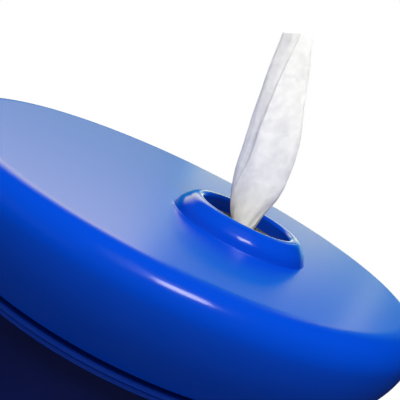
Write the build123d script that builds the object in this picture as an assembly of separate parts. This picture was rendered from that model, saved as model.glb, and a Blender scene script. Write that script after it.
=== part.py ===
"""Countertop wipes dispenser: a round canister, a bowl-sided lid with an off-centre outlet collar,
a star-cut outlet diaphragm and a centre-pull roll of wipes. Millimetres, +Z up, origin on the
counter under the centre of the canister. The outlet is towards -Y, the front."""
import os
from math import cos, radians, sin

from build123d import *

# --- Driving dimensions -------------------------------------------------------------------------
# Lid
LID_TOP_Z = 286.0        # plane where the flat top turns over into the rolled edge
LID_DISH = 0.4           # how far the top sinks below that plane at its centre
LID_R = 125.5            # widest radius, just under the rolled edge
EDGE_ROLL_R = 12.0       # radius of the rolled edge
SKIRT_R = 114.5          # outer radius at the foot of the skirt, which tucks in like a bowl
SKIRT_Z = 245.2          # foot of the skirt
LID_WALL = 3.0
LID_RIB_COUNT = 8        # spokes under the top, from the hub to the seal ring
LID_FIN_COUNT = 12       # upright fins inside the skirt that centre the lid on the neck
SEAL_IN_R = 99.2         # inner radius of the seal ring and of the plug skirt
PLUG_R = 101.2           # outer radius of the skirt that plugs into the neck
PLUG_LOW_Z = 266.0
LIP_IN_R = 106.6         # the outer lip of the gasket channel
LIP_R = 108.4
# Outlet collar, a moulded cushion-shaped ring on the lid
OUTLET_Y = -31.0         # offset of the outlet from the canister's axis
BORE_R = 22.4
COLLAR_LIP_Z = 291.4     # where the bore turns over into the lip
COLLAR_CREST_R = 26.5
COLLAR_CREST_Z = 294.2
COLLAR_SHOULDER_R = 29.7
COLLAR_SHOULDER_Z = 292.9
COLLAR_R = 33.9          # where the gently rounded side meets the lid
DIAPHRAGM_TOP_Z = 287.4  # the shoulder that the diaphragm is clamped against
DIAPHRAGM_R = 26.4
DIAPHRAGM_T = 1.6
STAR_HOLE_R = 6.0
STAR_SLITS = 8
HUB_R = 38.0             # pad under the collar that the clamp ring is screwed to
HUB_LOW_Z = 281.0
CLAMP_R = 37.6
CLAMP_IN_R = 20.0
CLAMP_LOW_Z = 278.4
CLAMP_SCREW_PCD_R = 31.0
CLAMP_SCREW_COUNT = 4
# Canister
BASE_R = 107.5           # outer radius of the wall under the trim band
BASE_FOOT_R = 97.0       # outer radius of the wall above the bottom corner
BASE_WALL = 3.0
BASE_BOTTOM_Z = 6.0      # underside, held up by the feet
SHOULDER_Z = 237.6       # ledge that carries the trim band
NECK_R = 105.5           # outer radius of the neck inside the lid
NECK_WALL = 3.0
RIM_Z = 278.0            # top of the neck
BAND_TOP_Z = 243.0       # top of the trim band, a shadow gap under the skirt
BAND_R = 114.0
# Contents and feet
ROLL_R = 92.0
ROLL_CORE_R = 50.0
ROLL_TOP_Z = 226.0
PLATFORM_Z = 24.0
PLATFORM_T = 2.5
PLATFORM_R = 90.0
FOOT_PCD_R = 79.0
FOOT_COUNT = 4
FOOT_FIRST = 45.0        # degrees round from +X to the first foot
SOLE_R = 9.0
SOLE_BORE_R = 4.2        # counterbore in the sole for the screw's head
SCREW_SEAT_Z = 2.8
SCREW_R = 1.5
RUNNING_GAP = 0.3        # between pieces of different bodies that come close

CEILING_Z = LID_TOP_Z - LID_WALL
FLOOR_Z = BASE_BOTTOM_Z + BASE_WALL
SPIGOT_Z = DIAPHRAGM_TOP_Z - DIAPHRAGM_T
OUTLET = Pos(0, OUTLET_Y, 0)


# --- Helpers ------------------------------------------------------------------------------------
def turned(face):
    """Revolve a face, drawn as radius and height, about Z, with its seam to the rear."""
    return Rot(0, 0, 90) * revolve(Plane.XZ * face, Axis.Z, 360)


def tube(outer, inner, low, high):
    """A plain ring between two heights."""
    section = Pos((outer + inner) / 2, (low + high) / 2) * Rectangle(outer - inner, high - low)
    return turned(section)


def rod(radius, low, high):
    """An upright cylinder between two heights."""
    return Pos(0, 0, low) * Cylinder(radius, high - low, align=(Align.CENTER, Align.CENTER, Align.MIN))


def around(count, radius, first=0.0):
    """Locations spread evenly on a circle, each turned to face outwards."""
    step = 360.0 / count
    return [Rot(0, 0, first + step * i) * Pos(radius, 0, 0) for i in range(count)]


def rounded(face, corners):
    """Round the corners of a flat face: each entry is a point and its radius."""
    for (x, y), radius in corners:
        vertex = face.vertices().sort_by_distance((x, y, 0))[0]
        face = fillet(vertex, radius)
    return face


# --- Lid ----------------------------------------------------------------------------------------
def bowl_section(inset):
    """Half of the lid's section, filled to the axis: dished top, rolled edge and tucked-in side."""
    roll = EDGE_ROLL_R - inset
    flat_r = LID_R - EDGE_ROLL_R
    top_z = LID_TOP_Z - inset
    dish = ThreePointArc(
        (0, top_z - LID_DISH), (flat_r / 2, top_z - 0.75 * LID_DISH), (flat_r, top_z)
    )
    edge = TangentArc(dish @ 1, (flat_r + roll, top_z - roll), tangent=dish % 1)
    side = TangentArc(edge @ 1, (SKIRT_R - inset, SKIRT_Z), tangent=edge % 1)
    close = Polyline(side @ 1, (0, SKIRT_Z), dish @ 0)
    return make_face([dish, edge, side, close])


def lid_bowl():
    """The lid's plain wall, an even thickness all over, with a rounded foot."""
    wall = bowl_section(0) - bowl_section(LID_WALL)
    foot_r = 0.8
    foot = [((SKIRT_R, SKIRT_Z), foot_r), ((SKIRT_R - LID_WALL, SKIRT_Z), foot_r)]
    return turned(rounded(wall.face(), foot))


def collar():
    """The collar round the outlet: a short bore, a rounded lip and a broad, gently rounded side."""
    root_z = LID_TOP_Z - 4.0
    inner = BORE_R - 1.0
    crest = (COLLAR_CREST_R, COLLAR_CREST_Z)
    lip = TangentArc(crest, (BORE_R, COLLAR_LIP_Z), tangent=(-1, 0))
    shoulder = TangentArc(crest, (COLLAR_SHOULDER_R, COLLAR_SHOULDER_Z), tangent=(1, 0))
    side = TangentArc(shoulder @ 1, (COLLAR_R, LID_TOP_Z - LID_DISH), tangent=shoulder % 1)
    below = Polyline(side @ 1, (COLLAR_R, root_z), (inner, root_z), (inner, COLLAR_LIP_Z), lip @ 1)
    return turned(make_face([lip, shoulder, side, below]))


def lid_underside():
    """Ribs and rings moulded inside the lid, before they are trimmed to its outer shape."""
    bond = 1.0                      # how far each piece runs up into the top
    rib_t = 1.7
    seal_flat = tube(LIP_R, SEAL_IN_R, CEILING_Z - 0.4, CEILING_Z + bond)
    plug_skirt = tube(PLUG_R, SEAL_IN_R, PLUG_LOW_Z, CEILING_Z)
    gasket_lip = tube(LIP_R, LIP_IN_R, RIM_Z + 1.0, CEILING_Z)
    hub_pad = OUTLET * tube(HUB_R, CLAMP_IN_R, HUB_LOW_Z, CEILING_Z + bond)
    inside = [seal_flat, plug_skirt, gasket_lip, hub_pad]
    hub_room = OUTLET * rod(HUB_R + 0.4, PLUG_LOW_Z, LID_TOP_Z)
    spoke_start = 8.0
    spoke_end = SEAL_IN_R + 0.6
    spoke = Pos((spoke_start + spoke_end) / 2, 0, CEILING_Z - 1.5) * Box(spoke_end - spoke_start, rib_t, 5.0)
    for spot in around(LID_RIB_COUNT, 0.0, 22.5):
        inside.append(spot * spoke - hub_room)
    fin_foot = NECK_R + RUNNING_GAP + 0.1
    fin = Pos(fin_foot + 8.0, 0, RIM_Z - 15.0) * Box(16.0, rib_t, 26.0)
    for spot in around(LID_FIN_COUNT, 0.0):
        inside.append(spot * fin)
    return inside


def lid_shell():
    """Bowl-sided lid moulding with its outlet collar, seal rings, ribs and screw bosses."""
    outer = turned(bowl_section(0))
    shell = lid_bowl()
    for piece in lid_underside():
        shell += piece & outer
    shell += OUTLET * collar()
    shell -= OUTLET * rod(BORE_R, PLUG_LOW_Z, COLLAR_LIP_Z)
    shell -= OUTLET * rod(DIAPHRAGM_R + 0.4, PLUG_LOW_Z, DIAPHRAGM_TOP_Z)
    pilot = rod(SCREW_R, PLUG_LOW_Z, DIAPHRAGM_TOP_Z + 2.0)
    for spot in around(CLAMP_SCREW_COUNT, CLAMP_SCREW_PCD_R, 45.0):
        shell -= OUTLET * spot * pilot
    return shell


def outlet_diaphragm():
    """Star-cut rubber disc whose fingers rise a little to the hole that the wipe is drawn through."""
    cone_r = 19.0
    rise = 1.4
    section = Polyline(
        (STAR_HOLE_R, SPIGOT_Z + rise), (cone_r, SPIGOT_Z), (DIAPHRAGM_R, SPIGOT_Z),
        (DIAPHRAGM_R, DIAPHRAGM_TOP_Z), (cone_r, DIAPHRAGM_TOP_Z),
        (STAR_HOLE_R, DIAPHRAGM_TOP_Z + rise), close=True,
    )
    disc = turned(make_face(section))
    slit_end = 18.0
    slit_start = STAR_HOLE_R - 2.0
    slit = Pos((slit_start + slit_end) / 2, 0, DIAPHRAGM_TOP_Z) * Box(slit_end - slit_start, 0.8, 8.0)
    for spot in around(STAR_SLITS, 0.0, 180.0 / STAR_SLITS):
        disc -= spot * slit
    return OUTLET * disc


def outlet_clamp_ring():
    """Ring screwed up under the collar, whose spigot holds the diaphragm against its shoulder."""
    spigot_r = DIAPHRAGM_R
    bevel = 0.8
    section = Polyline(
        (CLAMP_IN_R, CLAMP_LOW_Z + bevel), (CLAMP_IN_R + bevel, CLAMP_LOW_Z), (CLAMP_R - bevel, CLAMP_LOW_Z),
        (CLAMP_R, CLAMP_LOW_Z + bevel), (CLAMP_R, HUB_LOW_Z), (spigot_r, HUB_LOW_Z), (spigot_r, SPIGOT_Z),
        (CLAMP_IN_R + 1.6, SPIGOT_Z), (CLAMP_IN_R, HUB_LOW_Z + 2.0), close=True,
    )
    ring = turned(make_face(section))
    for spot in around(CLAMP_SCREW_COUNT, CLAMP_SCREW_PCD_R, 45.0):
        ring -= spot * rod(SCREW_R, CLAMP_LOW_Z - 1.0, HUB_LOW_Z + 1.0)
    return OUTLET * ring


def pan_screw(seat_z, tip_z, head_r):
    """Self-tapping screw, head down: pan head with a sloping edge, plain shank and a pointed tip."""
    head_h = 2.0
    point = 2.0
    section = Polyline(
        (0, seat_z - head_h), (head_r * 0.7, seat_z - head_h), (head_r, seat_z), (SCREW_R, seat_z),
        (SCREW_R, tip_z - point), (0, tip_z), close=True,
    )
    return turned(make_face(section))


def clamp_screws():
    """The screws that hold the clamp ring."""
    screw = pan_screw(CLAMP_LOW_Z, DIAPHRAGM_TOP_Z + 1.6, head_r=3.0)
    return [OUTLET * spot * screw for spot in around(CLAMP_SCREW_COUNT, CLAMP_SCREW_PCD_R, 45.0)]


def rim_gasket():
    """Soft seal in the lid's channel, just above the rim of the neck, with its edges chamfered."""
    low = RIM_Z + RUNNING_GAP
    high = CEILING_Z - 0.4
    inner = PLUG_R + 0.4
    outer = LIP_IN_R - 0.4
    section = Polyline(
        (inner, low + 1.2), (inner + 1.0, low), (outer - 1.0, low), (outer, low + 1.2),
        (outer, high), (inner, high), close=True,
    )
    return turned(make_face(section))


# --- Canister -----------------------------------------------------------------------------------
def base_shell():
    """Tapered canister with a pushed-up bottom, a ledge for the trim band and an upright neck."""
    push_up = 6.0
    push_r = 64.0                   # radius of the standing ring's inner edge
    wall_in = BASE_WALL + 0.02      # a little over, because the wall leans
    neck_in = NECK_R - NECK_WALL
    bevel = 0.9
    coving = 6.0                    # slanted corner between the floor and the wall, inside
    heel = (BASE_FOOT_R - 0.5, BASE_BOTTOM_Z)
    outline = Polyline(
        (0, BASE_BOTTOM_Z + push_up), (push_r - push_up, BASE_BOTTOM_Z + push_up),
        (push_r, BASE_BOTTOM_Z), heel, (BASE_R, SHOULDER_Z - bevel), (BASE_R - bevel, SHOULDER_Z),
        (NECK_R, SHOULDER_Z), (NECK_R, RIM_Z - bevel), (NECK_R - bevel, RIM_Z), (neck_in + bevel, RIM_Z),
        (neck_in, RIM_Z - bevel), (neck_in, SHOULDER_Z), (BASE_R - wall_in, SHOULDER_Z - 8.0),
        (BASE_FOOT_R - wall_in, FLOOR_Z + coving), (BASE_FOOT_R - wall_in - coving, FLOOR_Z),
        (push_r + 2.0, FLOOR_Z), (push_r + 2.0 - push_up, FLOOR_Z + push_up),
        (0, FLOOR_Z + push_up), close=True,
    )
    shell = turned(rounded(make_face(outline), [(heel, 13.0)]))
    boss_top = FLOOR_Z + 10.0
    boss = rod(5.0, FLOOR_Z - 1.0, boss_top)
    pilot = rod(SCREW_R, 0.0, boss_top - 2.0)
    for spot in around(FOOT_COUNT, FOOT_PCD_R, FOOT_FIRST):
        shell += spot * boss
        shell -= spot * pilot
    return shell


def trim_band():
    """Band round the shoulder with two rounded ridges, seen as a double line under the lid."""
    low = SHOULDER_Z
    mid = (low + BAND_TOP_Z) / 2
    ridge_r = BAND_R - 2.0
    bevel = 0.8
    section = Polyline(
        (NECK_R, low), (ridge_r - bevel, low), (ridge_r, low + bevel), (ridge_r, mid - 0.6),
        (BAND_R - 3.0, mid), (BAND_R, mid + 0.6), (BAND_R, BAND_TOP_Z - bevel),
        (BAND_R - bevel, BAND_TOP_Z), (NECK_R, BAND_TOP_Z), close=True,
    )
    ridges = [((ridge_r, mid - 0.6), 0.7), ((BAND_R, mid + 0.6), 0.8)]
    return turned(rounded(make_face(section), ridges))


def drain_platform():
    """Disc with six-sided holes, on short legs, that keeps the roll out of the liquid below it."""
    plate = Pos(0, 0, PLATFORM_Z) * extrude(Circle(PLATFORM_R), PLATFORM_T)
    hole = Pos(0, 0, PLATFORM_Z) * extrude(RegularPolygon(5.0, 6), PLATFORM_T)
    for radius, count in ((20.0, 6), (42.0, 9), (64.0, 12)):
        for spot in around(count, radius):
            plate -= spot * hole
    leg_top = PLATFORM_Z + 1.0
    for spot in around(4, 76.0):
        plate += spot * rod(4.0, FLOOR_Z, leg_top)
    middle_leg = rod(5.0, FLOOR_Z + 6.0, leg_top)
    return plate + middle_leg


def foot():
    """Soft foot with a chamfered sole and a counterbore for its screw."""
    waist_r = SOLE_R + 1.5
    waist_z = 1.8
    section = Polyline(
        (SCREW_R, SCREW_SEAT_Z), (SOLE_BORE_R, SCREW_SEAT_Z), (SOLE_BORE_R, 0), (SOLE_R, 0),
        (waist_r, waist_z), (waist_r - 0.5, BASE_BOTTOM_Z), (SCREW_R, BASE_BOTTOM_Z), close=True,
    )
    return turned(make_face(section))


def foot_screws():
    """One screw through each foot into its boss."""
    screw = pan_screw(SCREW_SEAT_Z, FLOOR_Z + 7.0, head_r=3.4)
    return [spot * screw for spot in around(FOOT_COUNT, FOOT_PCD_R, FOOT_FIRST)]


def wipe_roll():
    """Centre-pull roll: a soft hollow cylinder standing on the platform."""
    low = PLATFORM_Z + PLATFORM_T
    soft = 2.0                      # how far the web's soft edges are worn back at the top
    section = Polyline(
        (ROLL_CORE_R, low), (ROLL_R, low), (ROLL_R, ROLL_TOP_Z - soft), (ROLL_R - soft, ROLL_TOP_Z),
        (ROLL_CORE_R + soft, ROLL_TOP_Z), (ROLL_CORE_R, ROLL_TOP_Z - soft), close=True,
    )
    return turned(make_face(section))


# --- Wipe ---------------------------------------------------------------------------------------
WIPE_LEAN = radians(-56.4)   # direction, in plan, of the broad side of the drawn wipe
WIPE_NECK_R = 4.2
WIPE_TAIL_Z = 70.0
# height, sideways shift, half breadth and half thickness of the gathered wipe
WIPE_SECTIONS = (
    (286.0, 0.0, 4.2, 4.2), (291.0, -0.9, 6.0, 4.6), (298.0, -2.4, 8.8, 5.2), (308.0, -3.2, 11.3, 5.6),
    (324.0, -4.9, 12.3, 5.6), (340.0, -8.0, 12.0, 5.0), (354.0, -11.0, 10.0, 4.4),
    (368.0, -14.4, 7.9, 3.8), (380.0, -17.4, 6.2, 3.2),
)


def wipe_strip():
    """The wipe gathered to a cord in the roll's core, and fanned out above the outlet."""
    sections = []
    for z, shift, breadth, thickness in WIPE_SECTIONS:
        centre = (shift * cos(WIPE_LEAN), OUTLET_Y + shift * sin(WIPE_LEAN), z)
        plane = Plane(origin=centre, x_dir=(cos(WIPE_LEAN), sin(WIPE_LEAN), 0), z_dir=(0, 0, 1))
        sections.append(plane * Ellipse(breadth, thickness))
    fan = loft(sections)
    tail = OUTLET * rod(WIPE_NECK_R, WIPE_TAIL_Z, WIPE_SECTIONS[0][0])
    return fan + tail


# --- Export -------------------------------------------------------------------------------------
def write(name, shape):
    """Write one node; a list of solids becomes one group."""
    if isinstance(shape, list):
        shape = Compound(children=shape)
    shape.label = name
    export_step(shape, f"parts/{name}.step")


def main():
    """Build every piece and write it."""
    os.makedirs("parts", exist_ok=True)
    write("lid_shell", lid_shell())
    write("outlet_diaphragm", outlet_diaphragm())
    write("outlet_clamp_ring", outlet_clamp_ring())
    write("clamp_screws", clamp_screws())
    write("rim_gasket", rim_gasket())
    write("base_shell", base_shell())
    write("trim_band", trim_band())
    write("drain_platform", drain_platform())
    write("wipe_roll", wipe_roll())
    names = ("rear_right", "rear_left", "front_left", "front_right")
    for name, spot in zip(names, around(FOOT_COUNT, FOOT_PCD_R, FOOT_FIRST)):
        write(f"foot_{name}", spot * foot())
    write("foot_screws", foot_screws())
    write("wipe_strip", wipe_strip())


main()
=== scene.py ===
"""Finished looks of a countertop wipes dispenser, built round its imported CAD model.

Sizes in the classes are millimetres, in the frame of the CAD model: +Z up from the counter, -Y to the
front. Every mesh is scaled to metres once, in add_piece.
"""
import logging
import math
from dataclasses import astuple, dataclass, field
from enum import Enum
from functools import partial

import bmesh
import bpy
import numpy as np
from mathutils import Matrix, Vector, noise


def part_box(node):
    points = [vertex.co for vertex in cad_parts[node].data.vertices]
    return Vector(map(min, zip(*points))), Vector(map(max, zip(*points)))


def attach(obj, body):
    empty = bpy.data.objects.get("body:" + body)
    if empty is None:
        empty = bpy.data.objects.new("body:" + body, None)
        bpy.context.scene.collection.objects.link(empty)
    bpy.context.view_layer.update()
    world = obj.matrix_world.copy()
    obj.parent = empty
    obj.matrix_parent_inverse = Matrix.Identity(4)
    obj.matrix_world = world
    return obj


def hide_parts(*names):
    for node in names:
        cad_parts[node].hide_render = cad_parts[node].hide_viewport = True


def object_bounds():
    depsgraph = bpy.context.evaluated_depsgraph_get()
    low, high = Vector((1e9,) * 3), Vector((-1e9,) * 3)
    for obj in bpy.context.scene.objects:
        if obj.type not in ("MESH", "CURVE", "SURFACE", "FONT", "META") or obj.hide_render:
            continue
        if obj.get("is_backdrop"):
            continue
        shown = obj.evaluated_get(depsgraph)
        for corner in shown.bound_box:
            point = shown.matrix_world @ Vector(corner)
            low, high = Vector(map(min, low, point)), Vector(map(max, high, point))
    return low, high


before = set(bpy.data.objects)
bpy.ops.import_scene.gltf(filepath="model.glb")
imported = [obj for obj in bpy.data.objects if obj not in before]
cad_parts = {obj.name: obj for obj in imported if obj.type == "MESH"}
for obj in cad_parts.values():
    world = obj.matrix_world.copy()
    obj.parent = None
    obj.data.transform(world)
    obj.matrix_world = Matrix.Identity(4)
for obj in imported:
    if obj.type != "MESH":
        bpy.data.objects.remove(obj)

LOG = logging.getLogger("wipes_dispenser")
MM = 0.001  # metres in a millimetre
OUTLET_Y = -31.0  # how far the outlet stands in front of the lid's axis
LID_TOP_Z = 286.0
CAD_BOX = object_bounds()
Material, Tree, Node, Socket = bpy.types.Material, bpy.types.NodeTree, bpy.types.Node, bpy.types.NodeSocket
Point2 = tuple[float, float]
Corner = tuple[float, float, float]  # x or radius, height, and the corner's rounding
Triple = tuple[float, float, float]


class Body(Enum):
    """The CAD bodies that pieces ride on."""

    CANISTER = "canister"
    LID = "lid"
    WIPE = "wipe"


# --- Shapes ---
@dataclass
class Shape:
    """Points, in millimetres, and faces of one piece, which may be several islands."""

    points: list = field(default_factory=list)
    faces: list = field(default_factory=list)

    def add(self, rows: list, close_rows: bool = False, close_columns: bool = False,
            caps: tuple = ()) -> "Shape":
        """Append an island as a grid of points, joined by four-point faces.

        Args:
            rows: the points, row by row, with as many in each row.
            close_rows: join the last row to the first.
            close_columns: join the last point of each row to its first.
            caps: further faces, which count from the island's own first point.

        Returns:
            The shape itself.
        """
        first, columns = len(self.points), len(rows[0])
        self.points.extend(np.concatenate(rows).tolist())
        faces = []
        for i in range(len(rows) if close_rows else len(rows) - 1):
            for j in range(columns if close_columns else columns - 1):
                a, b = i * columns, (i + 1) % len(rows) * columns
                k = (j + 1) % columns
                faces.append((a + j, a + k, b + k, b + j))
        self.faces.extend([tuple(first + i for i in face) for face in (*faces, *caps)])
        return self

    def add_slab(self, ends: list, angle: float) -> None:
        """Append a solid between two outlines.

        Args:
            ends: both outlines, as outward, sideways and height, with as many points each.
            angle: how far, in radians, the solid is turned about the upright axis.
        """
        cos, sin = math.cos(angle), math.sin(angle)
        turn = np.array([(cos, sin, 0.0), (-sin, cos, 0.0), (0.0, 0.0, 1.0)])
        count = len(ends[0])
        caps = (tuple(range(count)), tuple(range(count, 2 * count))[::-1])
        self.add([np.array(end) @ turn for end in ends], close_columns=True, caps=caps)


def rounded_path(corners: list[Corner], closed: bool = True, steps: int = 5) -> list[Point2]:
    """Round the corners of a path drawn as radius and height.

    Args:
        corners: radius, height and corner radius of each point.
        closed: whether the last point joins the first.
        steps: segments in each rounded corner.

    Returns:
        The points of the rounded path.
    """
    path = []
    count = len(corners)
    for i, (x, y, radius) in enumerate(corners):
        here = np.array([x, y])
        if radius <= 0 or (not closed and i in (0, count - 1)):
            path.append((x, y))
            continue
        arms = [np.array(corners[k][:2]) - here for k in (i - 1, (i + 1) % count)]
        room = min(np.linalg.norm(arm) for arm in arms) * 0.49  # two roundings never meet
        last, following = (arm / np.linalg.norm(arm) for arm in arms)
        half = math.acos(float(np.clip(last @ following, -1, 1))) / 2
        back = min(radius / math.tan(half), room)
        start, end = here + last * back, here + following * back
        centre = here + (last + following) / np.linalg.norm(last + following) * back / math.cos(half)
        reach = np.linalg.norm(start - centre)
        for k in range(steps + 1):
            mix = start + (end - start) * k / steps - centre
            path.append(tuple((centre + mix / np.linalg.norm(mix) * reach).tolist()))
    return path


def tangent_arc(start: Point2, heading: float, end: Point2, steps: int) -> tuple[list[Point2], float]:
    """An arc that leaves a point in a given direction and ends at another.

    Args:
        start: first point.
        heading: direction at the first point, in radians from +X towards +Y.
        end: last point.
        steps: number of segments.

    Returns:
        The points after the first one, and the heading at the end.
    """
    chord = math.atan2(end[1] - start[1], end[0] - start[0])
    turn = 2 * math.remainder(chord - heading, 2 * math.pi)
    radius = math.dist(start, end) / (2 * math.sin(turn / 2))
    centre = (start[0] - radius * math.sin(heading), start[1] + radius * math.cos(heading))
    points = []
    for k in range(1, steps + 1):
        angle = heading + turn * k / steps
        points.append((centre[0] + radius * math.sin(angle), centre[1] - radius * math.cos(angle)))
    return points, heading + turn


def circle(count: int) -> tuple[np.ndarray, np.ndarray]:
    """Cosines and sines of a number of evenly spaced angles."""
    angles = np.arange(count) * 2 * math.pi / count
    return np.cos(angles), np.sin(angles)


def lathe(path: list[Point2], segments: int, closed: bool = True, centre_y: float = 0.0) -> Shape:
    """Turn a path, drawn as radius and height, about an upright axis.

    Args:
        path: points of the section.
        segments: points round the axis.
        closed: whether the section closes on itself.
        centre_y: where the axis stands.

    Returns:
        The turned shape.
    """
    cos, sin = circle(segments)
    rings = [np.stack([radius * cos, centre_y + radius * sin, np.full(segments, z)], 1) for radius, z in path]
    return Shape().add(rings, closed, True)


def smooth_curves(table: np.ndarray, at: np.ndarray) -> np.ndarray:
    """Interpolate through the rows of a table with curves that have no kinks.

    Args:
        table: rows of values, in the order of their first column.
        at: where to read it, in terms of the first column.

    Returns:
        The interpolated rows.
    """
    knots = table[:, 0]
    slopes = np.gradient(table, knots, axis=0)
    i = np.clip(np.searchsorted(knots, at, side="right") - 1, 0, len(knots) - 2)
    width = (knots[i + 1] - knots[i])[:, None]
    t = np.clip((at - knots[i])[:, None] / width, 0, 1)
    first = (2 * t**3 - 3 * t**2 + 1) * table[i] + (t**3 - 2 * t**2 + t) * width * slopes[i]
    return first + (3 * t**2 - 2 * t**3) * table[i + 1] + (t**3 - t**2) * width * slopes[i + 1]


def step(low: float, high: float, value: float | np.ndarray) -> np.ndarray:
    """A smooth step from 0 where the value is low to 1 where it is high."""
    t = np.clip((value - low) / (high - low), 0, 1)
    return t * t * (3 - 2 * t)


def link_object(name: str, data: bpy.types.ID) -> bpy.types.Object:
    """Put a new object with that name and data in the scene and return it."""
    bpy.context.scene.collection.objects.link(thing := bpy.data.objects.new(name, data))
    return thing


def add_piece(name: str, shape: Shape, material: Material, body: Body,
              nodes: tuple[str, ...] = (), sharp_deg: float = 40.0) -> bpy.types.Object:
    """Make a smooth-shaded mesh object from a shape and hand it to the frame.

    Doubled points are merged, collapsed faces dropped and the faces turned outwards.

    Args:
        name: name of the piece.
        shape: its points and faces.
        material: its finish.
        body: the CAD body that it moves with.
        nodes: the CAD nodes that it stands for.
        sharp_deg: edges sharper than this stay crisp.

    Returns:
        The new object.
    """
    mesh = bpy.data.meshes.new(name)
    mesh.from_pydata((np.array(shape.points) * MM).tolist(), [], shape.faces)
    work = bmesh.new()
    work.from_mesh(mesh)
    bmesh.ops.remove_doubles(work, verts=work.verts, dist=1e-7)
    bmesh.ops.recalc_face_normals(work, faces=work.faces)
    work.to_mesh(mesh)
    work.free()
    mesh.polygons.foreach_set("use_smooth", [True] * len(mesh.polygons))
    mesh.set_sharp_from_angle(angle=math.radians(sharp_deg))
    mesh.materials.append(material)
    piece = link_object(name, mesh)
    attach(piece, body.value)
    if nodes:
        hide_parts(*nodes)
    LOG.info("%s: %d faces, rides on %s", name, len(mesh.polygons), body.value)
    return piece


def thicken(piece: bpy.types.Object, thickness: float, offset: float) -> None:
    """Turn a drawn face into a sheet.

    Args:
        piece: the face.
        thickness: of the sheet, in millimetres.
        offset: -1 lays the sheet under the face, 0 on both sides of it.
    """
    solid = piece.modifiers.new("sheet_thickness", "SOLIDIFY")
    solid.thickness = thickness * MM
    solid.offset = offset


def dress_node(node: str, material: Material) -> None:
    """Give a CAD node that stays in view its finish.

    Args:
        node: the node's name.
        material: its finish.
    """
    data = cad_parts[node].data
    data.materials.clear()
    data.materials.append(material)
    LOG.info("%s: CAD shape, dressed in %s", node, material.name)


# --- Finishes ---
def linear(hex_colour: str) -> tuple[float, float, float, float]:
    """Turn an sRGB hex colour into a linear one.

    Args:
        hex_colour: a number sign and six hexadecimal digits.

    Returns:
        Linear red, green, blue and alpha.
    """
    parts = [int(hex_colour[i:i + 2], 16) / 255 for i in (1, 3, 5)]
    red, green, blue = (c / 12.92 if c <= 0.04045 else ((c + 0.055) / 1.055) ** 2.4 for c in parts)
    return red, green, blue, 1.0


def per_mm(size: float) -> float:
    """The texture scale, per metre, of a pattern whose parts have a size in millimetres."""
    return 1.0 / (size * MM)


def add_node(tree: Tree, kind: str, inputs: dict | None = None, **settings: str) -> Node:
    """Add a shader node.

    Args:
        tree: the node tree.
        kind: the node's type, without its ShaderNode prefix.
        inputs: a value, a socket, or a node whose first active output is linked, for each input.
        settings: the node's own settings.

    Returns:
        The node.
    """
    node = tree.nodes.new("ShaderNode" + kind)
    for name, value in settings.items():
        setattr(node, name, value)
    for name, value in (inputs or {}).items():
        if isinstance(value, Node):
            value = next(socket for socket in value.outputs if socket.enabled)
        if isinstance(value, Socket):
            tree.links.new(value, node.inputs[name])
        else:
            node.inputs[name].default_value = value
    return node


def new_material(name: str) -> tuple[Material, partial, Socket]:
    """Start a node material.

    Args:
        name: the material's name.

    Returns:
        The material, add_node for its tree, and the place, in metres, that patterns read.
    """
    material = bpy.data.materials.new(name)
    material.use_nodes = True
    material.node_tree.nodes.clear()
    add = partial(add_node, material.node_tree)
    return material, add, add("TexCoord").outputs["Object"]


@dataclass(frozen=True)
class MouldedPlastic:
    """Injection-moulded polypropylene.

    A polished mould leaves a gloss with a faint orange peel, a slow drift in the pigment and a
    little handling haze in the gloss. A face of the mould that was left finely textured comes out
    satin, and mirrors only in a blurred way.
    """

    name: str
    colour: str
    drift: str  # the pigment's other shade
    roughness: float
    haze: float = 0.04  # how far the roughness wanders
    peel_mm: float = 3.2  # width of the orange peel's cells
    peel_depth_mm: float = 0.010
    drift_mm: float = 45.0
    haze_mm: float = 9.0
    ior: float = 1.49
    satin: float = 0.0  # roughness of the satin face, if there is one
    satin_z: Point2 = (0.0, 0.0)  # its lowest and highest point
    satin_fade: float = 0.3  # height over which it turns glossy

    def build(self) -> Material:
        """Make the finish.

        Returns:
            The material.
        """
        material, add, place = new_material(self.name)
        slow = add("TexNoise", {"Vector": place, "Scale": per_mm(self.drift_mm), "Detail": 3.0})
        tint = add("Mix", {"Factor": slow, "A": linear(self.colour), "B": linear(self.drift)},
                   data_type="RGBA")
        haze = add("TexNoise", {"Vector": place, "Scale": per_mm(self.haze_mm), "Detail": 5.0})
        gloss = add("MapRange", {
            "Value": haze, "From Min": 0.3, "From Max": 0.7,
            "To Min": self.roughness - self.haze / 2, "To Max": self.roughness + self.haze / 2,
        })
        if self.satin:
            height = add("SeparateXYZ", {"Vector": place}).outputs["Z"]
            low, high, fade = (size * MM for size in (*self.satin_z, self.satin_fade))
            above, below = (add("MapRange", {
                "Value": height, "From Min": start, "From Max": start + fade,
                "To Min": first, "To Max": 1 - first,
            }) for start, first in ((low - fade, 0.0), (high, 1.0)))
            face = add("Math", {0: above, 1: below}, operation="MULTIPLY")
            gloss = add("Mix", {"Factor": face, "A": gloss, "B": self.satin})
        peel = add("TexNoise", {"Vector": place, "Scale": per_mm(self.peel_mm), "Detail": 2.0})
        bump = add("Bump", {"Height": peel, "Strength": 1.0, "Distance": self.peel_depth_mm * MM})
        shader = add("BsdfPrincipled", {
            "Base Color": tint, "Roughness": gloss, "Normal": bump, "IOR": self.ior,
        })
        add("OutputMaterial", {"Surface": shader})
        return material


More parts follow.
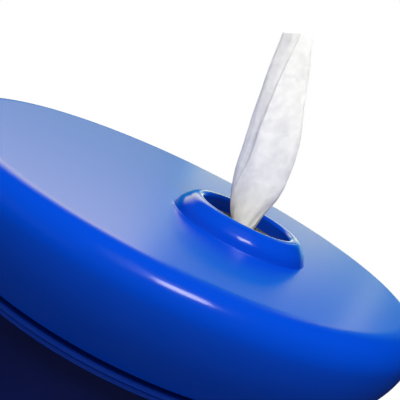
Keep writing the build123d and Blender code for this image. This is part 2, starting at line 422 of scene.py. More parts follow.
@dataclass(frozen=True)
class SheetRubber:
    """Rubber: dull, with filler grit that shows as paler and darker specks."""

    name: str
    colour: str
    speck: str
    grit_mm: float
    roughness: float = 0.85
    depth_mm: float = 0.06
    speck_range: Point2 = (0.42, 0.62)  # where in the noise the specks begin and are full

    def build(self) -> Material:
        """Make the finish.

        Returns:
            The material.
        """
        material, add, place = new_material(self.name)
        grit = add("TexNoise", {"Vector": place, "Scale": per_mm(self.grit_mm), "Detail": 4.0})
        begin, full = self.speck_range
        sharp = add("MapRange", {"Value": grit, "From Min": begin, "From Max": full})
        tint = add("Mix", {"Factor": sharp, "A": linear(self.colour), "B": linear(self.speck)},
                   data_type="RGBA")
        bump = add("Bump", {"Height": grit, "Strength": 1.0, "Distance": self.depth_mm * MM})
        shader = add("BsdfPrincipled", {
            "Base Color": tint, "Roughness": self.roughness, "Normal": bump, "Specular IOR Level": 0.3,
        })
        add("OutputMaterial", {"Surface": shader})
        return material


@dataclass(frozen=True)
class PlatedSteel:
    """Zinc-plated steel screws: a soft metal gloss, duller where the plating is cloudy."""

    name: str
    colour: str
    roughness: Point2 = (0.24, 0.44)  # where the plating is bright and where it is cloudy
    cloud_mm: float = 1.4

    def build(self) -> Material:
        """Make the finish.

        Returns:
            The material.
        """
        material, add, place = new_material(self.name)
        cloud = add("TexNoise", {"Vector": place, "Scale": per_mm(self.cloud_mm), "Detail": 4.0})
        bright, dull = self.roughness
        gloss = add("MapRange", {"Value": cloud, "To Min": bright, "To Max": dull})
        shader = add("BsdfPrincipled", {
            "Base Color": linear(self.colour), "Metallic": 1.0, "Roughness": gloss,
        })
        add("OutputMaterial", {"Surface": shader})
        return material


@dataclass(frozen=True)
class Nonwoven:
    """Thermally bonded nonwoven web.

    Fine crossed fibres, drawn a little coarser than the real 0.02 mm so that they show, with slow
    cloudy differences in how thickly they lie.
    """

    name: str
    colour: str
    thin: str  # colour where the web lies thinner
    fibre_mm: float = 0.35
    cloud_mm: float = 5.0
    cloud_range: Point2 = (0.35, 0.70)  # where in the noise the web is thick and where it is thin
    stretch: float = 0.3  # the pattern's scale upwards, which draws the fibres out that way
    depth_mm: float = 0.05
    see_through: float = 0.12  # share of the light that comes through the thin web

    def build(self) -> Material:
        """Make the finish.

        Returns:
            The material.
        """
        material, add, place = new_material(self.name)
        cloud = add("TexNoise", {
            "Vector": place, "Scale": per_mm(self.cloud_mm), "Detail": 6.0, "Distortion": 0.6,
        })
        thick, thin = self.cloud_range
        spread = add("MapRange", {"Value": cloud, "From Min": thick, "From Max": thin})
        tint = add("Mix", {"Factor": spread, "A": linear(self.colour), "B": linear(self.thin)},
                   data_type="RGBA")
        along = add("Mapping", {"Vector": place, "Scale": (1.0, 1.0, self.stretch)})
        fibres = add("TexNoise", {
            "Vector": along, "Scale": per_mm(self.fibre_mm), "Detail": 3.0, "Distortion": 1.0,
        })
        bump = add("Bump", {"Height": fibres, "Strength": 1.0, "Distance": self.depth_mm * MM})
        shader = add("BsdfPrincipled", {
            "Base Color": tint, "Roughness": 0.9, "Normal": bump,
            "Specular IOR Level": 0.2, "Sheen Weight": 0.15, "Sheen Roughness": 0.6,
        })
        through = add("BsdfTranslucent", {"Color": tint, "Normal": bump})
        web = add("MixShader", {0: self.see_through, 1: shader, 2: through})
        add("OutputMaterial", {"Surface": web})
        return material


# --- Lid ---
@dataclass
class OutletCollar:
    """The cushion-shaped ring round the outlet, and the seat for the diaphragm under it."""

    bore_r: float = 22.4
    profile: tuple[Corner, ...] = (  # lip, crest, shoulder and foot
        (22.4, 294.6, 2.0), (27.2, 294.6, 6.0), (32.4, 289.6, 16.0), (33.9, 285.6, 0.4),
    )
    shoulder_z: float = 287.4
    seat_r: float = 26.8
    pad_r: float = 38.0
    pad_z: float = 281.0
    skirting: float = 2.0  # where the path of the section runs on, past the foot, and is cut off

    def outer_rings(self) -> list[Triple]:
        """Rings from the diaphragm's shoulder up the bore, over the crest and down to the lid's top.

        Returns:
            Radius, height and how far each ring follows the dish of the top, from 0 to 1.
        """
        foot_r, foot_z, _ = self.profile[-1]
        end = (foot_r + self.skirting, foot_z, 0.0)
        corners = [(self.bore_r, self.shoulder_z, 0.0), *self.profile, end]
        path = rounded_path(corners, closed=False, steps=10)[:-1]
        return [(radius, z, float(k == len(path) - 1)) for k, (radius, z) in enumerate(path)]


@dataclass
class LidMoulding:
    """The bowl-sided lid with its collar, seal rings, spokes and centring fins."""

    collar: OutletCollar = field(default_factory=OutletCollar)
    top_z: float = LID_TOP_Z
    dish: float = 0.4  # how far the top sinks at its centre
    edge_roll_r: float = 12.0
    skirt_r: float = 114.5
    wall: float = 3.0
    foot_r: float = 0.8
    lip: Point2 = (106.6, 108.4)
    plug: Point2 = (99.2, 101.2)
    lip_z: float = 279.0
    plug_z: float = 266.0
    channel: float = 0.4  # how far the seal's channel is sunk into the ceiling
    spokes: int = 8
    spoke_z: Point2 = (279.0, 284.2)  # from its lower edge to where it is buried in the top
    spoke_r: Point2 = (8.0, 80.0)  # where a spoke may begin
    fins: int = 12
    fin_z: Point2 = (250.0, 276.0)
    neck_gap_r: float = 105.9
    rib_half: float = 0.85  # half the thickness of a spoke or fin
    bury: float = 0.5  # how far a spoke runs into the seal ring
    fin_bury: float = 0.3  # how far a fin runs into the skirt
    segments: int = 384
    top_rings: int = 48
    ceiling_rings: int = 16

    def __post_init__(self) -> None:
        """Take the lid's widest radius and its foot from the frame."""
        low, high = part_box("lid_shell")
        self.skirt_z = low.z / MM
        self.rim_r = high.x / MM - 0.01  # a hair inside the CAD shell
        self.flat_r = self.rim_r - self.edge_roll_r

    def side(self, inset: float, steps: int) -> list[Point2]:
        """The rolled edge and the bowl side, from the flat top to the foot.

        Args:
            inset: how far it lies inside the outer face.
            steps: segments in each of the two arcs.

        Returns:
            Radius and height of its points.
        """
        heading = math.atan(2 * self.dish / self.flat_r)
        start = (self.flat_r, self.top_z - inset)
        widest = (self.rim_r - inset, self.top_z - self.edge_roll_r)
        edge, heading = tangent_arc(start, heading, widest, steps)
        bowl, _ = tangent_arc(widest, heading, (self.skirt_r - inset, self.skirt_z), steps)
        return edge + bowl

    def build(self) -> Shape:
        """Sweep the lid's whole section round the collar and the lid, then add the ribs.

        Returns:
            The lid's shape.
        """
        near_z, top_r = self.top_z - self.dish, self.flat_r
        outer_rings = self.collar.outer_rings()
        first_r = outer_rings[-1][0]
        outer = self.side(0.0, 20)
        inner = self.side(self.wall, 12)[::-1]
        foot_out = rounded_path(
            [(*outer[-2], 0.0), (*outer[-1], self.foot_r), (*inner[0], self.foot_r), (*inner[1], 0.0)],
            closed=False, steps=4)
        collar, (lip_in, lip_out), (plug_in, plug_out) = self.collar, self.lip, self.plug
        ceiling = self.top_z - self.wall
        seal_z = ceiling - self.channel
        under = [
            (lip_out, ceiling, 0.3), (lip_out, self.lip_z, 0.5), (lip_in, self.lip_z, 0.5),
            (lip_in, seal_z, 0.2), (plug_out, seal_z, 0.2), (plug_out, self.plug_z, 0.6),
            (plug_in, self.plug_z, 0.6), (plug_in, ceiling, 0.3),
        ]
        pad = [(collar.pad_r, collar.pad_z, 0.3), (collar.seat_r, collar.pad_z, 0.3),
               (collar.seat_r, collar.shoulder_z, 0.0)]
        # Each ring: 1 to centre it on the outlet and 0 on the lid, its radius and height, how far it
        # takes on the dish of the top, and how far it lies under it.
        rings = [(1.0, radius, z, follow, 0.0) for radius, z, follow in outer_rings]
        rings += [(1 - t, first_r + (top_r - first_r) * t, near_z, 1.0, 0.0)
                  for t in np.linspace(0.0, 1.0, self.top_rings + 1)[1:]]
        rings += [(0.0, radius, z, 0.0, 0.0) for radius, z in
                  outer[:-2] + foot_out + inner[2:] + rounded_path(under, closed=False, steps=3)]
        rings += [(t, plug_in + (collar.pad_r - plug_in) * t, near_z, 1.0, self.wall)
                  for t in np.linspace(0.0, 1.0, self.ceiling_rings + 1)[1:]]
        rings += [(1.0, radius, z, 0.0, 0.0) for radius, z in rounded_path(pad, closed=False, steps=3)]
        cos, sin = circle(self.segments)
        rows = []
        for weight, radius, z, follow, inset in rings:
            x, y = radius * cos, weight * OUTLET_Y + radius * sin
            dished = self.top_z - self.dish * (1 - (np.hypot(x, y) / top_r) ** 2)
            rows.append(np.stack([x, y, z + follow * (dished - inset - near_z)], 1))
        shape = Shape().add(rows, True, True)
        self.add_spokes(shape)
        self.add_fins(shape)
        return shape

    def add_spokes(self, shape: Shape) -> None:
        """Add the ribs under the top, each from the collar's pad or the axis to the seal ring.

        Args:
            shape: the lid's shape, which the ribs join.
        """
        half, (low, high) = self.rib_half, self.spoke_z
        section = rounded_path(
            [(-half, low, 0.5), (half, low, 0.5), (half, high, 0.0), (-half, high, 0.0)], steps=3)
        for k in range(self.spokes):
            angle = 2 * math.pi * (k + 0.5) / self.spokes
            start = self.spoke_r[0]
            for radius in np.arange(*self.spoke_r, 0.5):
                off_outlet = math.hypot(radius * math.cos(angle), radius * math.sin(angle) - OUTLET_Y)
                if off_outlet < self.collar.pad_r:
                    start = radius
            shape.add_slab([
                [(radius, across, z) for across, z in section] for radius in (start, self.plug[0] + self.bury)
            ], angle)

    def add_fins(self, shape: Shape) -> None:
        """Add the upright fins inside the skirt that centre the lid on the neck.

        Args:
            shape: the lid's shape, which the fins join.
        """
        low, high = self.fin_z
        reach = [(r, z) for r, z in self.side(self.wall - self.fin_bury, 16) if low <= z <= high]
        outline = [(self.neck_gap_r, high)] + reach + [(self.neck_gap_r, low)]
        for k in range(self.fins):
            shape.add_slab([
                [(radius, across, z) for radius, z in outline] for across in (-self.rib_half, self.rib_half)
            ], 2 * math.pi * k / self.fins)

    def dress(self, material: Material) -> None:
        """Build the lid and hand it to the frame."""
        add_piece("lid_moulding", self.build(), material, Body.LID, ("lid_shell",))


@dataclass
class OutletSeal:
    """The star-cut diaphragm and the ring that clamps it."""

    top_z: float = 287.4
    thickness: float = 1.6
    disc_r: float = 26.4
    hole_r: float = 6.0
    slit_end_r: float = 18.0
    slit_half: float = 0.4
    slits: int = 8
    rise: float = 1.4  # how far a finger's tip is drawn up
    bend_r: float = 19.0  # where a finger begins to rise
    sag: float = 0.35  # how far a finger's sides hang below its middle
    columns: int = 17
    clamp_r: Point2 = (20.0, 37.6)
    clamp_z: Point2 = (278.4, 281.0)

    def build_disc(self) -> Shape:
        """The diaphragm as fingers, curled up where the wipe draws them, on a common rim.

        Returns:
            The upper face of the disc.
        """
        shape = Shape()
        width = 2 * math.pi / self.slits
        end = self.slit_end_r
        radii = np.concatenate([np.linspace(self.hole_r, end, 16), np.linspace(end + 0.6, self.disc_r, 8)])
        across = np.linspace(-1, 1, self.columns)
        for k in range(self.slits):
            rows = []
            for radius in radii:
                open_half = self.slit_half * float(1 - step(end - 0.5, end + 0.4, radius))
                trim = math.asin(min(1.0, open_half / radius))
                angles = np.linspace(width * k + trim, width * (k + 1) - trim, self.columns) + width / 2
                lift = np.clip((self.bend_r - radius) / (self.bend_r - self.hole_r), 0, 1) ** 1.6
                sag = across**2 * (1 - step(self.hole_r, end, radius))
                z = self.top_z + self.rise * lift - self.sag * sag
                rows.append(np.stack([radius * np.cos(angles), OUTLET_Y + radius * np.sin(angles), z], 1))
            shape.add(rows)
        return shape

    def build_clamp(self) -> Shape:
        """The clamp ring with its spigot.

        Returns:
            The turned ring.
        """
        inner, outer = self.clamp_r
        low, high = self.clamp_z
        spigot_z = self.top_z - self.thickness
        path = rounded_path([
            (inner, low, 1.0), (outer, low, 1.0), (outer, high, 0.3), (self.disc_r, high, 0.2),
            (self.disc_r, spigot_z, 0.3), (inner + 1.6, spigot_z, 0.3), (inner, high + 2.0, 0.3),
        ])
        return lathe(path, 128, centre_y=OUTLET_Y)

    def dress(self, rubber: Material, plastic: Material) -> None:
        """Build both pieces and hand them to the frame.

        Args:
            rubber: the diaphragm's finish.
            plastic: the clamp ring's.
        """
        disc = add_piece("star_diaphragm", self.build_disc(), rubber, Body.LID,
                         ("outlet_diaphragm",))
        thicken(disc, self.thickness, -1.0)
        add_piece("clamp_ring", self.build_clamp(), plastic, Body.LID,
                  ("outlet_clamp_ring",))


@dataclass
class RimGasket:
    """The silicone seal in the lid's channel."""

    low: float = 278.3
    high: float = 282.6
    inner_r: float = 101.6
    outer_r: float = 106.2

    def dress(self, material: Material) -> None:
        """Build the gasket and hand it to the frame.

        Args:
            material: its finish.
        """
        low, high, inner, outer = astuple(self)
        path = rounded_path([
            (inner, low + 1.2, 0.4), (inner + 1.0, low, 0.4), (outer - 1.0, low, 0.4),
            (outer, low + 1.2, 0.4), (outer, high, 0.3), (inner, high, 0.3),
        ], steps=3)
        add_piece("rim_seal", lathe(path, 192), material, Body.LID, ("rim_gasket",))


# --- Canister ---
@dataclass
class Canister:
    """The tapered canister with its neck, and the trim band on its shoulder."""

    wall_r: float = 107.5
    foot_r: float = 97.0
    wall: float = 3.0
    bottom_z: float = 6.0
    shoulder_z: float = 237.6
    neck_r: float = 105.5
    rim_z: float = 278.0
    push_up: float = 6.0
    push_r: float = 64.0
    band_r: float = 114.0
    band_top_z: float = 243.0
    band_gap: float = 0.05  # between the band and the canister
    segments: int = 256

    def build_shell(self) -> Shape:
        """The canister's section, turned: outside, neck and inside.

        Returns:
            The turned shell.
        """
        wall, bottom, top, rim = self.wall, self.bottom_z, self.shoulder_z, self.rim_z
        neck, push, up = self.neck_r, self.push_r, self.push_up
        floor = bottom + wall
        path = rounded_path([
            (0.0, bottom + up, 0.0), (push - up, bottom + up, 3.0), (push, bottom, 3.0),
            (self.foot_r - 0.5, bottom, 13.0), (self.wall_r, top, 0.8), (neck, top, 0.3), (neck, rim, 1.2),
            (neck - wall, rim, 1.2), (neck - wall, top, 3.0), (self.wall_r - wall, top - 8.0, 3.0),
            (self.foot_r - wall, floor, 10.0), (push + 2.0, floor, 3.0), (push + 2.0 - up, floor + up, 3.0),
            (0.0, floor + up, 0.0),
        ], closed=False, steps=6)
        return lathe(path, self.segments, closed=False)

    def build_band(self) -> Shape:
        """The trim band with its two rounded ridges.

        Returns:
            The turned band.
        """
        low, high = self.shoulder_z + self.band_gap, self.band_top_z
        middle = (self.shoulder_z + high) / 2
        inner, outer = self.neck_r + self.band_gap, self.band_r
        path = rounded_path([
            (inner, low, 0.1), (outer - 2.0, low, 1.0), (outer - 2.0, middle - 0.6, 0.7),
            (outer - 3.0, middle, 0.3), (outer, middle + 0.6, 0.8), (outer, high, 0.9), (inner, high, 0.1),
        ], steps=6)
        return lathe(path, self.segments)

    def dress(self, shell: Material, band: Material) -> None:
        """Build both pieces and hand them to the frame."""
        # The shell's finish is the darkened blue that carries painted shade.
        add_piece("canister_shell", self.build_shell(), shell, Body.CANISTER, ("base_shell",))
        add_piece("shoulder_band", self.build_band(), band, Body.CANISTER, ("trim_band",))


@dataclass
class PanScrews:
    """A ring of self-tapping screws, heads down, with a cross recess in each head."""

    name: str
    node: str
    body: Body
    seat_z: float
    tip_z: float
    head_r: float
    pitch_r: float
    centre_y: float = 0.0
    first_deg: float = 45.0
    count: int = 4
    shank_r: float = 1.5
    head_h: float = 2.0
    dome: float = 1.5  # how far the head's edge lies below its top
    slot_half: float = 0.42  # half the width of the recess
    slot_depth: float = 0.9
    columns: int = 48

    def build(self) -> Shape:
        """The screws, one island each.

        Returns:
            All the screws.
        """
        cos, sin = circle(self.columns)
        rows = []
        for t in np.linspace(0.0, 1.0, 15):
            x, y = self.head_r * t * cos, self.head_r * t * sin
            recess = self.slot_depth * (np.minimum(np.abs(x), np.abs(y)) < self.slot_half) * (t < 0.62)
            rows.append(np.stack([x, y, self.seat_z - self.head_h + self.dome * t**2.6 + recess], 1))
        for radius, z in ((self.head_r, self.seat_z), (self.shank_r, self.seat_z),
                          (self.shank_r, self.tip_z - 2.0), (0.0, self.tip_z)):
            rows.append(np.stack([radius * cos, radius * sin, np.full(self.columns, z)], 1))
        shape = Shape()
        for k in range(self.count):
            angle = math.radians(self.first_deg + 360.0 / self.count * k)
            place = [self.pitch_r * math.cos(angle), self.centre_y + self.pitch_r * math.sin(angle), 0.0]
            shape.add([row + place for row in rows], False, True)
        return shape

    def dress(self, material: Material) -> None:
        """Build the screws and hand them to the frame."""
        add_piece(self.name, self.build(), material, self.body, (self.node,), 30.0)


@dataclass
class WoundRoll:
    """The centre-pull roll: its turns show as a spiral on the top and an uneven inner edge."""

    outer_r: float = 92.0
    core_r: float = 50.0
    low: float = 26.5
    high: float = 226.0
    turn_mm: float = 1.5  # drawn four times coarser than the web, so that the turns show
    soft_edge: float = 3.0
    step_mm: float = 1.1  # how far a turn may be stepped up or down
    groove: float = 0.45  # depth of the line between two turns
    columns: int = 320

    def section(self) -> list[Point2]:
        """The roll's section, up the inside, over the top and down.

        Returns:
            Radius and height of its points.
        """
        inner, outer, low, high, soft = self.core_r, self.outer_r, self.low, self.high, self.soft_edge
        sides = [(inner, z) for z in np.linspace(high - soft, low + 1.0, 12)]
        sides += [(inner + 1.0, low), (outer - 1.0, low)]
        sides += [(outer, z) for z in np.linspace(low + 1.0, high - soft, 12)]
        corner = [(outer - soft * (1 - math.cos(turn)), high - soft * (1 - math.sin(turn)))
                  for turn in np.arange(1, 6) * math.pi / 12]
        top = [(r, high) for r in np.linspace(outer - soft, inner + soft, 110)]
        return sides + corner + top + [(outer + inner - r, z) for r, z in reversed(corner)]

    def build(self) -> Shape:
        """Sweep the section round, stepping each turn up or down a little.

        Returns:
            The roll's shape.
        """
        angles = np.arange(self.columns) * 2 * math.pi / self.columns
        rows = []
        for radius, z in self.section():
            turns = (radius - self.core_r) / self.turn_mm + angles / (2 * math.pi)
            index = np.floor(turns)
            part = turns - index
            # Each turn has its own height, which changes slowly round it.
            height = np.array([noise.noise(Vector((i * 3.7, math.cos(a) * 0.8, math.sin(a) * 0.8)))
                               for i, a in zip(index, angles)])
            near_top = step(self.high - 6.0, self.high - 1.0, z)
            groove = -self.groove * np.exp(-((np.minimum(part, 1 - part) / 0.16) ** 2))
            drop = near_top * np.minimum(0.0, height * self.step_mm - 0.35 + groove)
            wave = 0.35 * np.sin(angles * 3 + z * 0.03) + 0.2 * np.sin(angles * 7 - z * 0.05)
            outwards = 1.0 if radius > (self.outer_r + self.core_r) / 2 else -1.0
            near_side = 1 - step(0.0, 12.0, min(self.outer_r - radius, radius - self.core_r))
            reach = radius - outwards * np.abs(wave) * near_side
            rows.append(np.stack([reach * np.cos(angles), reach * np.sin(angles), z + drop], 1))
        return Shape().add(rows, True, True)

    def dress(self, material: Material) -> None:
        """Build the roll and hand it to the frame."""
        add_piece("wound_roll", self.build(), material, Body.CANISTER, ("wipe_roll",), 60.0)


# --- Wipe ---
@dataclass(frozen=True)
class Gather:
    """One level of the drawn wipe: its height, its sides, its depth and where its free edge shows."""

    z: float
    left: float
    right: float
    depth: float
    edge: float  # share of the width, from the left, at which the free edge lies


GATHERS = (
    Gather(70.0, -3.9, 3.9, 3.9, 0.10), Gather(200.0, -3.9, 3.9, 3.9, 0.10),
    Gather(280.0, -3.9, 3.9, 3.9, 0.06), Gather(287.5, -4.3, 4.4, 4.1, 0.04),
    Gather(291.0, -7.0, 5.3, 4.4, 0.03), Gather(298.0, -11.2, 6.5, 5.0, 0.04),
    Gather(308.0, -14.8, 8.5, 5.5, 0.12), Gather(320.0, -16.9, 8.1, 5.6, 0.20),
    Gather(336.0, -19.4, 5.3, 5.2, 0.22), Gather(352.0, -21.0, -0.3, 4.6, 0.26),
    Gather(366.0, -22.5, -5.3, 4.0, 0.36), Gather(380.0, -23.6, -11.1, 3.4, 0.55),
)


@dataclass
class DrawnWipe:
    """The nonwoven sheet, wrapped loosely on itself, gathered at the outlet and fanned out above it."""

    lean_deg: float = -56.4  # direction, in plan, of the broad side
    width: float = 120.0  # the cut width, which is the same at every level
    thickness: float = 0.28
    columns: int = 240
    turns: int = 14  # turns of the spiral that are drawn before it is cut to the width
    turn_steps: int = 120
    core_z: Point2 = (70.0, 276.0)  # rows are coarse down in the core
    seen_z: Point2 = (278.5, 380.0)  # and fine from just under the outlet
    top_left: Point2 = (-23.4, 376.4)  # the torn edge's upper left end, sideways and height
    top_slope: float = 0.48  # rise of the torn edge per millimetre to the right
    tooth_mm: float = 1.8  # pitch of the torn perforation
    tear_z: Point2 = (330.0, 380.0)  # where the rows begin to lean to the torn edge, and do fully
    layer_gap: Point2 = (0.42, 0.85)  # between layers in the neck, and at most in the fan
    least: float = 0.3  # half the size of the innermost layer

    def crumple(self, angle: np.ndarray, reach: float, z: float) -> np.ndarray:
        """Noise that closes on itself round the section.

        Args:
            angle: angles round the section.
            reach: how far apart the angles are in the noise, so how fine it is.
            z: the height in the noise.

        Returns:
            A value for each angle.
        """
        return np.array([noise.noise(Vector((math.cos(a) * reach, math.sin(a) * reach, z))) for a in angle])

    def ripple(self, angle: np.ndarray, z: float) -> np.ndarray:
        """How far the pleats push the sheet out.

        Args:
            angle: angles round the section.
            z: the section's height.

        Returns:
            Millimetres outwards at each angle.
        """
        neck = math.exp(-((z - 288.0) / 13.0) ** 2)
        fan = float(step(296.0, 316.0, z))
        drift = 0.9 * math.sin(z * 0.021)
        fine = 0.22 * neck * np.sin(11 * angle + 0.30 * (z - 288.0))
        broad = 0.25 * fan * np.sin(4 * angle + drift) + 0.14 * fan * np.sin(7 * angle - 1.6 * drift + 1.0)
        right_pleat = -0.35 * fan * np.exp(-(((np.mod(angle, 2 * math.pi) - 0.72) / 0.16) ** 2))
        coarse = 0.55 * self.crumple(angle, 1.9, z * 0.035)
        return fine + broad + right_pleat + fan * (coarse + 0.22 * self.crumple(angle, 5.0, z * 0.07 + 7.0))

    def section(self, gather: Gather) -> np.ndarray:
        """The sheet's cross-section at a height: a flattened spiral of the cut width.

        Args:
            gather: the height and how the sheet is gathered there.

        Returns:
            Points across the width: sideways and towards the front.
        """
        centre, half = (gather.left + gather.right) / 2, (gather.right - gather.left) / 2
        start = math.acos(2 * max(gather.edge, 0.001) - 1)
        turn = np.arange(self.turns * self.turn_steps) / self.turn_steps
        angle = start - 2 * math.pi * turn
        whole = np.floor(turn)
        layer = whole + step(0.62, 1.0, turn - whole)  # steps inwards at the end of each turn
        gap = min(self.layer_gap[0] + 0.05 * max(0.0, half - 4.0), self.layer_gap[1])
        push = self.ripple(angle, gather.z)
        across, deep = (np.maximum(size - gap * layer, self.least) + push for size in (half, gather.depth))
        points = np.stack([centre + across * np.cos(angle), deep * np.sin(angle)], 1)
        length = np.concatenate([[0.0], np.cumsum(np.linalg.norm(np.diff(points, axis=0), axis=1))])
        at = np.linspace(0.0, min(self.width, length[-1]), self.columns)
        return np.stack([np.interp(at, length, points[:, k]) for k in (0, 1)], 1)

    def build(self) -> Shape:
        """Stack the sections into one sheet and tear its top edge.

        Returns:
            The sheet's middle face.
        """
        lean = math.radians(self.lean_deg)
        aside = np.array([math.cos(lean), math.sin(lean)])
        front = np.array([math.sin(lean), -math.cos(lean)])
        across = np.arange(self.columns) / (self.columns - 1) * self.width
        tooth = 0.35 * np.abs(np.mod(across / self.tooth_mm, 1.0) - 0.5)
        levels = np.concatenate([np.linspace(*self.core_z, 60), np.linspace(*self.seen_z, 150)])
        rows = []
        for row in smooth_curves(np.array([astuple(gather) for gather in GATHERS]), levels):
            gather = Gather(*row.tolist())
            flat = self.section(gather)
            torn = self.top_left[1] + self.top_slope * (flat[:, 0] - self.top_left[0]) + tooth - levels[-1]
            heights = gather.z + np.minimum(torn, 0.0) * step(*self.tear_z, gather.z)
            plan = np.outer(flat[:, 0], aside) + np.outer(flat[:, 1], front)
            rows.append(np.column_stack([plan[:, 0], OUTLET_Y + plan[:, 1], heights]))
        return Shape().add(rows)

    def dress(self, material: Material) -> None:
        """Args:
            material: the web's finish.
        """
        wipe = add_piece("drawn_wipe", self.build(), material, Body.WIPE, ("wipe_strip",), 180.0)
        thicken(wipe, self.thickness, 0.0)
        wipe.visible_glossy = False  # a studio flag: no pale mirror image on the lid


# --- Studio ---
@dataclass(frozen=True)
class Fade:
    """A smooth change in the light that comes from the surroundings."""

    name: str
    reads: str  # the height, bearing or facing of the direction looked in
    begin: float  # in degrees for a bearing
    end: float
    first: float  # level up to the beginning
    last: float  # level from the end on


FADES = (  # the sweep's tall part, its low panel, and the narrow strip past the panel's end
    Fade("tall_foot", "height", 0.200, 0.295, 0.02, 1.0), Fade("tall_top", "height", 0.52, 0.66, 1.0, 0.0),
    Fade("low_top", "height", 0.160, 0.200, 0.86, 0.02), Fade("low_dims", "bearing", 14.0, 24.0, 0.30, 1.0),
    Fade("strip_foot", "height", 0.195, 0.225, 0.0, 0.86), Fade("which", "bearing", 33.6, 36.8, 0.0, 1.0),
    Fade("strip_starts", "bearing", 15.2, 15.8, 0.0, 1.0),
    Fade("strip_ends", "bearing", 16.6, 17.4, 1.0, 0.0),
    Fade("in_front", "facing", 0.62, 0.90, 0.02, 1.0), Fade("ambient", "height", 0.0, 0.8, 0.14, 0.32),
)
JOINS = (  # a level's name, and how it is made of which two others
    ("tall", "MULTIPLY", "tall_foot", "tall_top"), ("panel", "MULTIPLY", "low_top", "low_dims"),
    ("strip_wide", "MULTIPLY", "strip_starts", "strip_ends"),
    ("strip", "MULTIPLY", "strip_foot", "strip_wide"), ("low", "MAXIMUM", "panel", "strip"),
)


@dataclass(frozen=True)
class Softbox:
    """A lamp that faces the lid."""

    name: str
    azimuth_deg: float  # direction from the lid, from +X towards +Y
    elevation_deg: float
    distance: float  # metres from the lid
    size: Point2  # width and height of its face in metres
    radiance: float  # how bright its face is, where 1 is white
    colour: str = "#FFFFFF"
    reflected: bool = True  # whether glossy surfaces mirror it
    only: str = ""  # the one piece that it lights, if it is flagged off the others

    def hang(self) -> None:
        """Add the lamp to the scene."""
        azimuth, elevation = math.radians(self.azimuth_deg), math.radians(self.elevation_deg)
        level = math.cos(elevation)
        toward = Vector((math.cos(azimuth) * level, math.sin(azimuth) * level, math.sin(elevation)))
        data = bpy.data.lights.new(self.name, "AREA")
        data.shape = "RECTANGLE"
        data.size, data.size_y = self.size
        data.energy = self.radiance * math.pi * self.size[0] * self.size[1]
        data.color = linear(self.colour)[:3]
        lamp = link_object(self.name, data)
        lamp.visible_glossy = self.reflected
        if self.only:
            flagged = bpy.data.collections.new(self.name + "_flag")
            flagged.objects.link(bpy.data.objects[self.only])
            lamp.light_linking.receiver_collection = flagged
        lamp.location = Vector((0.0, 0.0, LID_TOP_Z * MM)) + toward * self.distance
        lamp.rotation_mode = "QUATERNION"
        lamp.rotation_quaternion = toward.to_track_quat("Z", "Y")


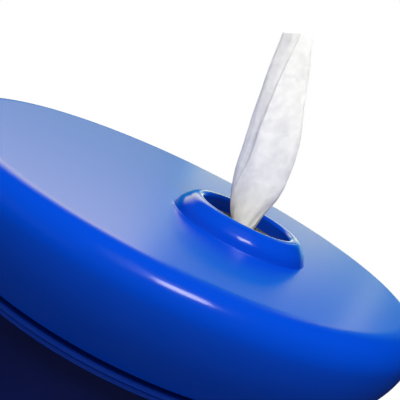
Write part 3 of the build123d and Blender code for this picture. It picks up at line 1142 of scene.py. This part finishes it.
@dataclass
class Studio:
    """Floor, lights, surroundings and camera."""

    lens_mm: float = 58.5
    sensor_mm: float = 36.0
    eye: Triple = (-265.353, -176.300, 348.994)
    forward: Triple = (0.822325, 0.536922, -0.188404)
    up: Triple = (-0.103439, 0.466641, 0.878377)
    sweep_toward: Triple = (0.766, 0.643, 0.0)
    paper: str = "#FFF696"  # the lit sweep's warm white, which keeps the lid's sheen from violet
    dusk: str = "#28C8D8"  # the unlit part of the sweep, blue with the lid's own light
    levels: Point2 = (0.52, 2.75)  # brightness of the dusk and of the paper
    floor_r: float = 6.0  # radius of the counter, in metres
    floor_fades: Point2 = (0.30, 0.75)  # metres from the axis where it runs out into white

    def place_camera(self) -> None:
        """Create the camera, rolled and close to the lid."""
        data = bpy.data.cameras.new("camera")
        data.lens, data.sensor_width = self.lens_mm, self.sensor_mm
        data.clip_start, data.clip_end = 0.01, 50.0
        camera = link_object("camera", data)
        ahead, up = Vector(self.forward).normalized(), Vector(self.up)
        right = ahead.cross(up).normalized()
        up = right.cross(ahead)
        turn = Matrix((right, up, -ahead)).transposed()
        camera.matrix_world = Matrix.Translation(Vector(self.eye) * MM) @ turn.to_4x4()
        bpy.context.scene.camera = camera

    def lay_floor(self) -> None:
        """A pale counter that takes the shadow and runs out into the white background."""
        material, add, place = new_material("matt_white_counter")
        rays = add("LightPath")
        near = add("BsdfDiffuse", {"Color": linear("#F4F4F4")})
        white = add("Emission", {"Strength": 1.0})
        reach = add("VectorMath", {0: place}, operation="LENGTH").outputs["Value"]
        begin, end = self.floor_fades
        far = add("MapRange", {"Value": reach, "From Min": begin, "From Max": end},
                  interpolation_type="SMOOTHSTEP")
        share = add("Math", {0: far, 1: rays.outputs["Is Camera Ray"]}, operation="MULTIPLY")
        seen = add("MixShader", {0: share, 1: near, 2: white})
        for ray, colour in (("Is Diffuse Ray", "#A4A6AA"), ("Is Glossy Ray", "#202228")):
            other = add("BsdfDiffuse", {"Color": linear(colour)})
            seen = add("MixShader", {0: rays.outputs[ray], 1: seen, 2: other})
        add("OutputMaterial", {"Surface": seen})
        mesh = bpy.data.meshes.new("counter")
        cos, sin = circle(96)
        rim = np.stack([cos, sin, 0.0 * cos], 1) * self.floor_r
        mesh.from_pydata(rim.tolist(), [], [tuple(range(len(rim)))])
        mesh.materials.append(material)
        link_object("counter", mesh)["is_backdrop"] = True

    def surround(self) -> None:
        """A studio with a lit paper sweep behind the dispenser and a dark room behind the camera."""
        world = bpy.data.worlds.new("paper_sweep_studio")
        bpy.context.scene.world = world
        world.use_nodes = True
        world.node_tree.nodes.clear()
        add = partial(add_node, world.node_tree)
        rays = add("LightPath")
        toward = add("TexCoord").outputs["Generated"]
        split = add("SeparateXYZ", {"Vector": toward})
        readings = {
            "height": split.outputs["Z"],
            "bearing": add("Math", {0: split.outputs["Y"], 1: split.outputs["X"]}, operation="ARCTAN2"),
            "facing": add("VectorMath", {0: toward, 1: self.sweep_toward},
                          operation="DOT_PRODUCT").outputs["Value"],
        }
        level = {}
        for fade in FADES:
            unit = math.radians(1.0) if fade.reads == "bearing" else 1.0
            level[fade.name] = add("MapRange", {
                "Value": readings[fade.reads], "From Min": fade.begin * unit, "From Max": fade.end * unit,
                "To Min": fade.first, "To Max": fade.last,
            }, interpolation_type="SMOOTHSTEP")
        for name, operation, first, second in JOINS:
            level[name] = add("Math", {0: level[first], 1: level[second]}, operation=operation)
        sweep = add("Mix", {"Factor": level["which"], "A": level["low"], "B": level["tall"]})
        tint = add("Mix", {"Factor": sweep, "A": linear(self.dusk), "B": linear(self.paper)},
                   data_type="RGBA")
        bright = add("Mix", {"Factor": sweep, "A": self.levels[0], "B": self.levels[1]})
        shown = add("Math", {0: bright, 1: level["in_front"]}, operation="MULTIPLY")
        shiny = add("Math", {0: rays.outputs["Is Glossy Ray"], 1: rays.outputs["Is Transmission Ray"]},
                    operation="MAXIMUM")
        plain = linear("#FFFFFF")
        seen = add("Background", {"Color": plain, "Strength": level["ambient"]})
        for share, colour, strength in ((shiny, tint, shown), (rays.outputs["Is Camera Ray"], plain, 1.0)):
            other = add("Background", {"Color": colour, "Strength": strength})
            seen = add("MixShader", {0: share, 1: seen, 2: other})
        add("OutputWorld", {"Surface": seen})

    def build(self) -> None:
        """Set up everything round the dispenser."""
        self.place_camera()
        self.lay_floor()
        self.surround()
        Softbox("key_softbox", -150.0, 66.0, 1.6, (0.80, 0.80), 8.0, reflected=False).hang()
        Softbox("key_core", -128.0, 61.5, 1.6, (0.48, 0.32), 13.0).hang()
        Softbox("wipe_fill", -168.0, 16.0, 1.4, (0.6, 0.6), 4.7, "#FFFDF6", False, "drawn_wipe").hang()
        bpy.context.scene.view_settings.view_transform = "Standard"


def write_sizes() -> None:
    """Make a table of the CAD model's box and the visual model's box; the table is not kept."""
    boxes = {"cad": CAD_BOX, "visual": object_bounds()}
    {name: [list(corner) for corner in box] for name, box in boxes.items()}


def main() -> None:
    """Build and dress every piece, then the studio."""
    logging.basicConfig(level=logging.INFO, format="%(name)s: %(message)s")
    glossy_blue = MouldedPlastic("moulded_polypropylene_blue", "#004CDA", "#0049D4", 0.15,
                                 satin=0.25, satin_z=(285.5, 286.1)).build()
    band_blue = MouldedPlastic("moulded_polypropylene_band_blue", "#0048D0", "#0045C8", 0.24).build()
    # Painted shade: the canister is the lid's blue plastic, given a much darker blue colour so that it reads
    # as shaded under the overhanging lid.
    painted_shade_blue = MouldedPlastic("moulded_polypropylene_navy", "#0A1C66", "#0B195C", 0.30).build()
    natural = MouldedPlastic("moulded_polypropylene_natural", "#D4D6D8", "#CDD0D3", 0.45).build()
    nylon = MouldedPlastic("moulded_nylon_dark", "#1C2133", "#1A1F2E", 0.50).build()
    diaphragm = SheetRubber("die_cut_sheet_rubber", "#2E2A26", "#8E8676", 0.7).build()
    silicone = SheetRubber("extruded_silicone", "#C9C9C4", "#D2D2CE", 1.2, roughness=0.6,
                           depth_mm=0.01).build()
    soles = SheetRubber("moulded_elastomer_black", "#141416", "#1E1E20", 0.8).build()
    steel = PlatedSteel("zinc_plated_steel", "#C6C8CA").build()
    web = Nonwoven("bonded_nonwoven_web", "#FBFAF4", "#EBEAE6").build()

    LidMoulding().dress(glossy_blue)
    OutletSeal().dress(diaphragm, nylon)
    RimGasket().dress(silicone)
    Canister().dress(painted_shade_blue, band_blue)
    PanScrews("clamp_ring_screws", "clamp_screws", Body.LID, seat_z=278.4, tip_z=289.0, head_r=3.0,
              pitch_r=31.0, centre_y=OUTLET_Y).dress(steel)
    PanScrews("sole_screws", "foot_screws", Body.CANISTER, seat_z=2.8, tip_z=16.0, head_r=3.4,
              pitch_r=79.0).dress(steel)
    WoundRoll().dress(web)
    dress_node("drain_platform", natural)
    for place in ("rear_right", "rear_left", "front_left", "front_right"):
        dress_node(f"foot_{place}", soles)
    DrawnWipe().dress(web)
    Studio().build()


if __name__ == "__main__":
    main()
    write_sizes()
